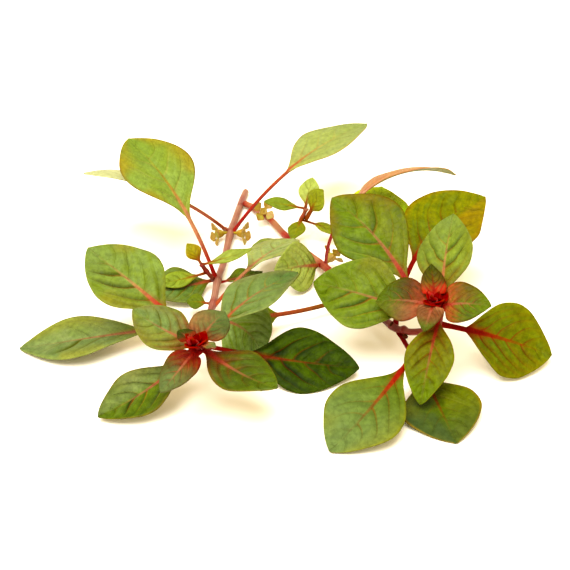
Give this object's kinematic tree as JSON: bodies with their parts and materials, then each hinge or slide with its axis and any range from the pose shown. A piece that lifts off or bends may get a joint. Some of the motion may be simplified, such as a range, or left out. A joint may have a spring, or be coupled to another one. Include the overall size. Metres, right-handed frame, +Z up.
{
  "type": "ludwigia repens cutting",
  "caption": "Forked cutting of a green and red aquarium plant with paired oval leaves, laid flat.",
  "frame": {"origin": "middle of the plant's outline seen from above, at the height of its lowest leaf tip", "axes": "+Z up from the surface the cutting lies on, +Y from the two rosettes towards the cut end, +X to the right rosette's side"},
  "size_m": [0.14, 0.1424, 0.0352],
  "materials": {
    "leaf": "satin, soft leaf tissue",
    "young_leaf": "satin, reddish young leaf tissue",
    "stem": "satin, smooth red stem",
    "bud": "satin, dark red bud",
    "seed_capsule": "matt, dry seed capsule"
  },
  "bodies": {
    "root": {"left_stem": "stem", "right_stem": "stem", "left_shoot_stem": "stem", "back_shoot_stem": "stem", "left_leaf_1a": "leaf", "left_leaf_1b": "leaf", "left_leaf_2a": "leaf", "left_leaf_2b": "leaf", "left_leaf_2c": "leaf", "left_leaf_3a": "leaf", "left_leaf_3b": "leaf", "left_leaf_4a": "leaf", "left_leaf_4b": "leaf", "left_leaf_5a": "leaf", "left_leaf_5b": "leaf", "left_leaf_6a": "leaf", "left_leaf_6b": "leaf", "left_leaf_7a": "young_leaf", "left_leaf_7b": "leaf", "left_leaf_8a": "young_leaf", "left_leaf_8b": "young_leaf", "left_leaf_9a": "young_leaf", "left_leaf_9b": "young_leaf", "left_shoot_leaf_a": "young_leaf", "left_shoot_leaf_b": "leaf", "left_shoot_leaf_c": "leaf", "right_leaf_2a": "leaf", "right_leaf_3a": "leaf", "right_leaf_3b": "leaf", "right_leaf_4a": "leaf", "right_leaf_4b": "leaf", "right_leaf_5a": "leaf", "right_leaf_5b": "leaf", "right_leaf_6a": "leaf", "right_leaf_6b": "leaf", "right_leaf_7a": "leaf", "right_leaf_7b": "leaf", "right_leaf_8a": "leaf", "right_leaf_8b": "leaf", "right_leaf_9a": "young_leaf", "right_leaf_9b": "young_leaf", "right_leaf_10a": "young_leaf", "right_leaf_10b": "young_leaf", "back_shoot_leaf_a": "leaf", "back_shoot_leaf_b": "leaf", "back_shoot_leaf_c": "leaf", "back_shoot_leaf_d": "leaf", "back_shoot_leaf_e": "leaf", "left_bud": "bud", "right_bud": "bud", "seed_capsule_1": "seed_capsule", "seed_capsule_2": "seed_capsule", "seed_capsule_3": "seed_capsule", "seed_capsule_4": "seed_capsule"}
  },
  "joints": []
}
